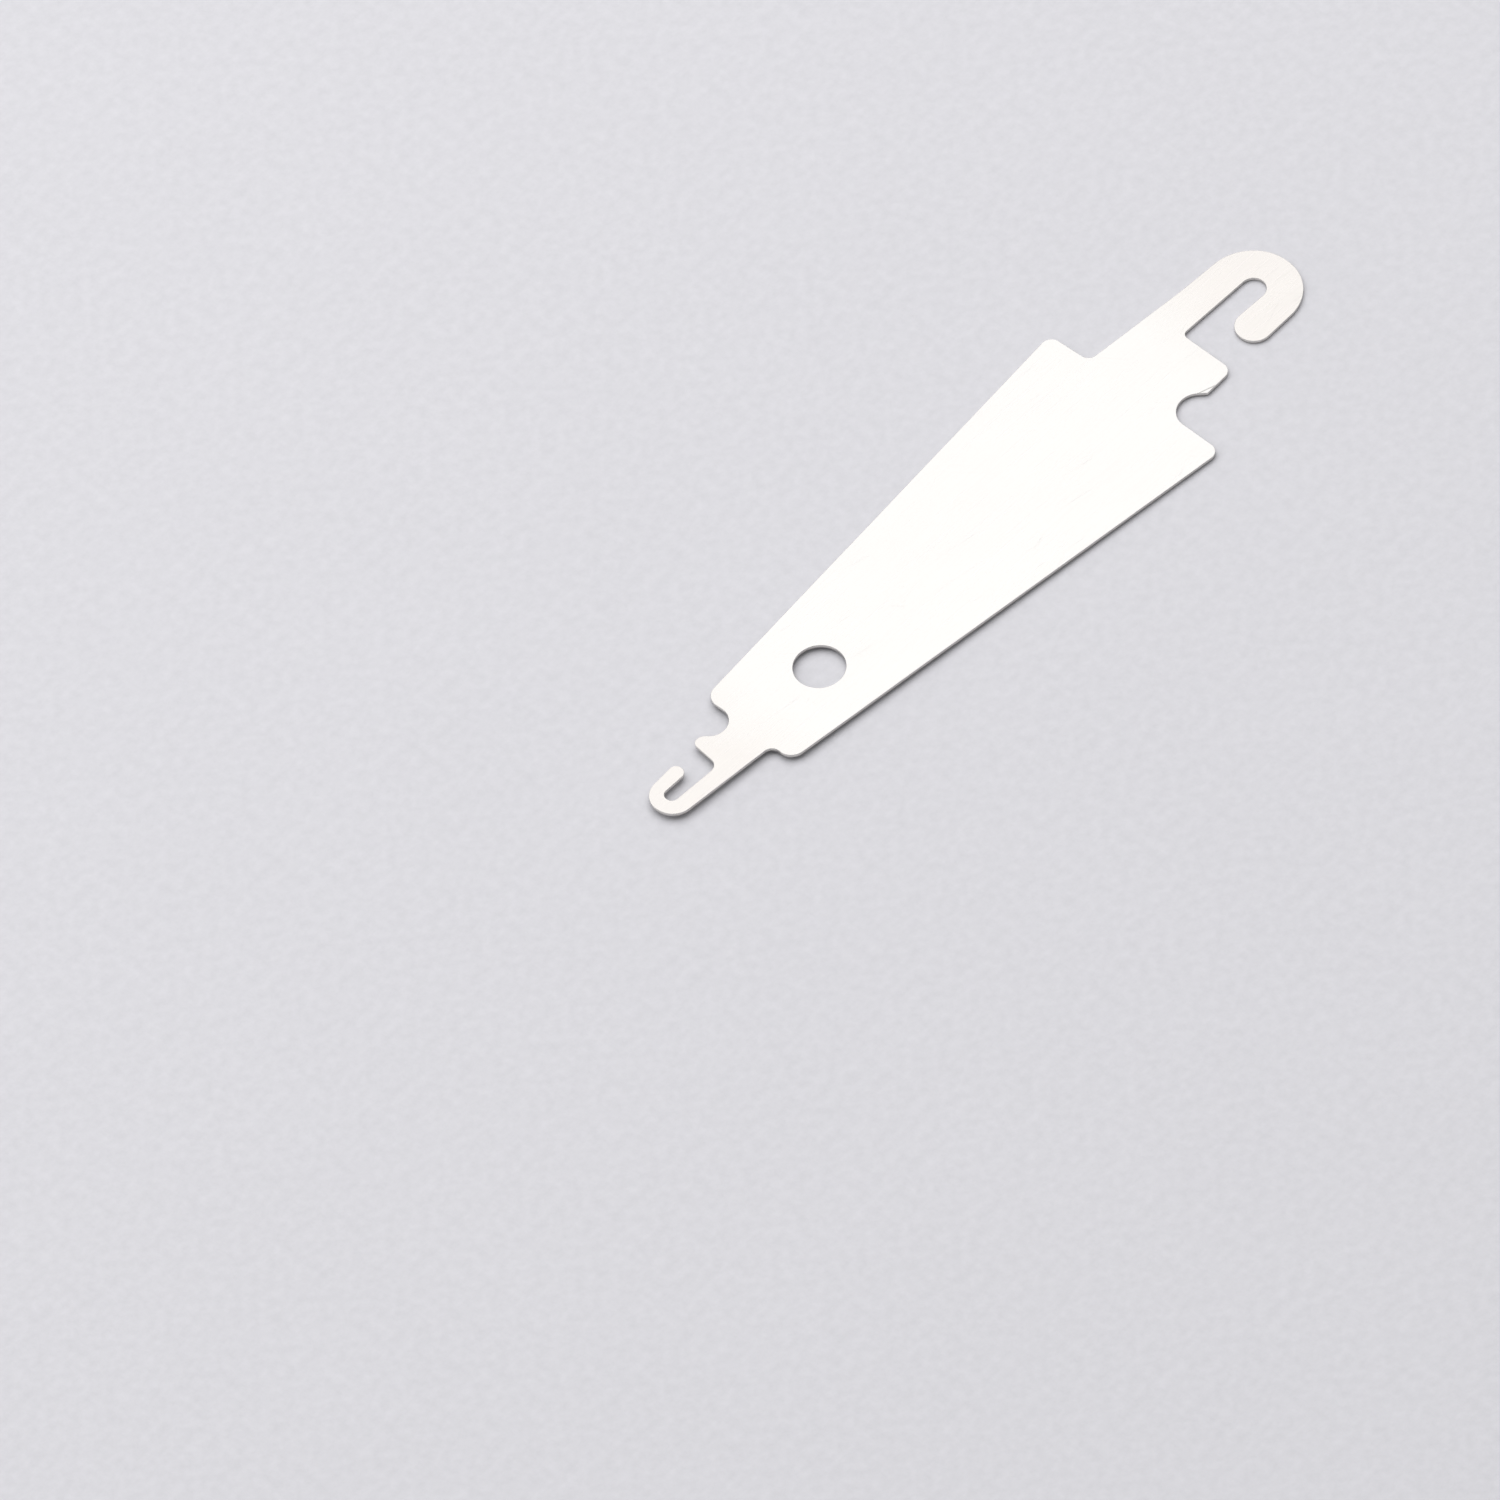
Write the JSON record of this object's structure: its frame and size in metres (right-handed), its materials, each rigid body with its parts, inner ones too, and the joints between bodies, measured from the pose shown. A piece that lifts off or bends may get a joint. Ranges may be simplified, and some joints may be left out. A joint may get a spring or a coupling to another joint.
{
  "type": "needle threader",
  "caption": "Flat sheet-metal needle threader: tapered grip body with a hang hole, a large open hook at the wide end and a small one at the narrow end, each beside a tooth and round notch.",
  "frame": {"origin": "middle of the plate's footprint, on its underside", "axes": "+X along the long axis towards the large hook, +Y towards the side that the large hook's shank stands on, +Z out of the upper face"},
  "size_m": [0.045, 0.0112, 0.0002],
  "materials": {
    "sheet_steel": "bright cold-rolled sheet with faint rolling grain and sheared edges"
  },
  "bodies": {
    "root": {"threader_plate": "sheet_steel"}
  },
  "joints": []
}
